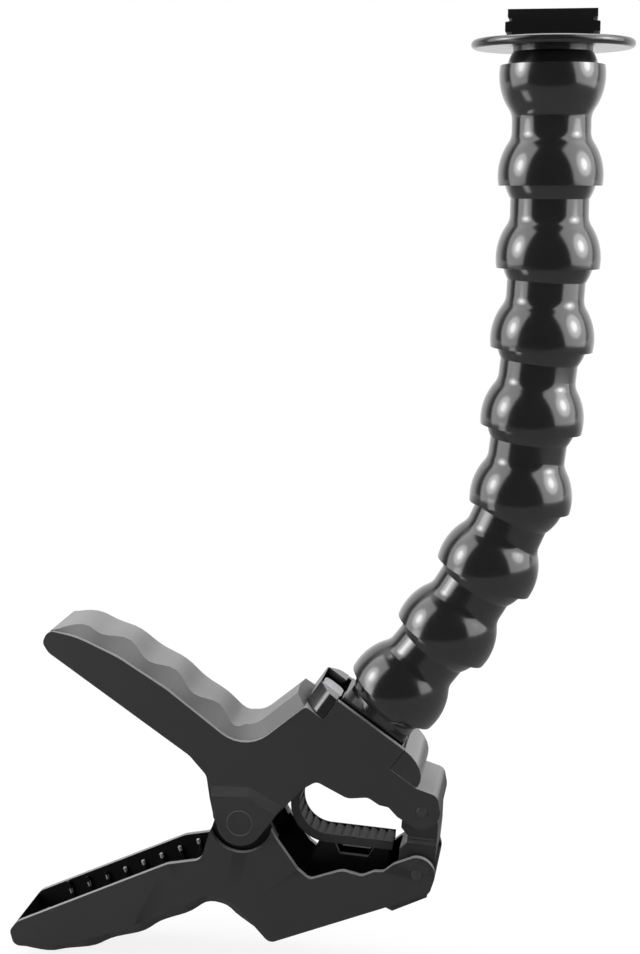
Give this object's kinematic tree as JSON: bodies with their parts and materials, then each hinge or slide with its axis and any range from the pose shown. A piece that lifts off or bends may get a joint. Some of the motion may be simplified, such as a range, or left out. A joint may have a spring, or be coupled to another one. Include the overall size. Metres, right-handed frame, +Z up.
{
  "type": "flexible clamp mount",
  "caption": "Spring clamp with a bendable ball-and-socket arm that ends in a round plate and a slide-in camera base, for holding a camera or light on a desk edge, rail or bar.",
  "frame": {"origin": "middle of the grip between the two closed jaw pads, which holds the part up", "axes": "+X out of the jaws, +Z up, +Y to the side from which the camera slides in"},
  "size_m": [0.2107, 0.0524, 0.3251],
  "materials": {
    "matte_black": "fine-grained satin black",
    "gloss_black": "polished black",
    "black_rubber": "soft matte black",
    "black_metal": "blackened, satin",
    "spring_steel": "bright wire"
  },
  "bodies": {
    "lower_clamp": {"lower_arm": "matte_black", "grip_band": "black_rubber", "lower_jaw_pin": "black_metal", "clamp_spring": "spring_steel"},
    "lower_jaw": {"lower_pad": "matte_black", "lower_pad_facing": "black_rubber"},
    "upper_clamp": {"upper_arm": "matte_black", "pivot_pin": "black_metal", "pivot_washer": "black_metal", "upper_jaw_pin": "black_metal", "receiver": "gloss_black", "foot": "gloss_black"},
    "upper_jaw": {"upper_pad": "matte_black", "upper_pad_facing": "black_rubber"},
    "link_1": {"arm_link_1": "gloss_black"},
    "link_2": {"arm_link_2": "gloss_black"},
    "link_3": {"arm_link_3": "gloss_black"},
    "link_4": {"arm_link_4": "gloss_black"},
    "link_5": {"arm_link_5": "gloss_black"},
    "link_6": {"arm_link_6": "gloss_black"},
    "link_7": {"arm_link_7": "gloss_black"},
    "double_link": {"double_socket": "gloss_black"},
    "camera_head": {"head_plate": "gloss_black", "camera_base": "gloss_black"}
  },
  "joints": [
    {"name": "clamp_hinge", "type": "hinge", "parent": "lower_clamp", "child": "upper_clamp", "pos_m": [-0.06185, 0, 0.00432], "axis": [0, -1, 0], "range_deg": [0, 40], "stiffness_Nm_per_rad": 1.2, "springref_deg": -45.84, "deforming": ["clamp_spring"]},
    {"name": "upper_pad_tilt", "type": "hinge", "parent": "upper_clamp", "child": "upper_jaw", "pos_m": [0.00079, 0, 0.01127], "axis": [0, -1, 0], "range_deg": [-20, 0]},
    {"name": "lower_pad_tilt", "type": "hinge", "parent": "lower_clamp", "child": "lower_jaw", "pos_m": [-0.00079, 0, -0.01127], "axis": [0, -1, 0], "range_deg": [0, 20]},
    {"name": "arm_ball_1", "type": "hinge", "parent": "upper_clamp", "child": "link_1", "pos_m": [-0.00885, 0, 0.05001], "axis": [0, 1, 0], "range_deg": [-19.9, 16.1]},
    {"name": "arm_ball_2", "type": "hinge", "parent": "link_1", "child": "link_2", "pos_m": [0.00734, 0, 0.07111], "axis": [0, 1, 0], "range_deg": [-11.5, 24.5]},
    {"name": "arm_ball_3", "type": "hinge", "parent": "link_2", "child": "link_3", "pos_m": [0.02104, 0, 0.09391], "axis": [0, 1, 0], "range_deg": [-10.5, 25.5]},
    {"name": "arm_ball_4", "type": "hinge", "parent": "link_3", "child": "link_4", "pos_m": [0.03165, 0, 0.11831], "axis": [0, 1, 0], "range_deg": [-1.5, 34.5]},
    {"name": "arm_ball_5", "type": "hinge", "parent": "link_4", "child": "link_5", "pos_m": [0.03489, 0, 0.14471], "axis": [0, 1, 0], "range_deg": [-17, 19]},
    {"name": "arm_ball_6", "type": "hinge", "parent": "link_5", "child": "link_6", "pos_m": [0.03767, 0, 0.17116], "axis": [0, 1, 0], "range_deg": [-15, 21]},
    {"name": "arm_ball_7", "type": "hinge", "parent": "link_6", "child": "link_7", "pos_m": [0.03907, 0, 0.19773], "axis": [0, 1, 0], "range_deg": [-15.5, 20.5]},
    {"name": "arm_ball_8", "type": "hinge", "parent": "link_7", "child": "double_link", "pos_m": [0.0393, 0, 0.22433], "axis": [0, 1, 0], "range_deg": [-17.5, 18.5]},
    {"name": "arm_ball_9", "type": "hinge", "parent": "double_link", "child": "camera_head", "pos_m": [0.0393, 0, 0.25493], "axis": [0, 1, 0], "range_deg": [-18, 18]}
  ],
  "couplings": [
    {"joint": "upper_pad_tilt", "follows": "clamp_hinge", "ratio": -0.5},
    {"joint": "lower_pad_tilt", "follows": "clamp_hinge", "ratio": 0.5}
  ]
}
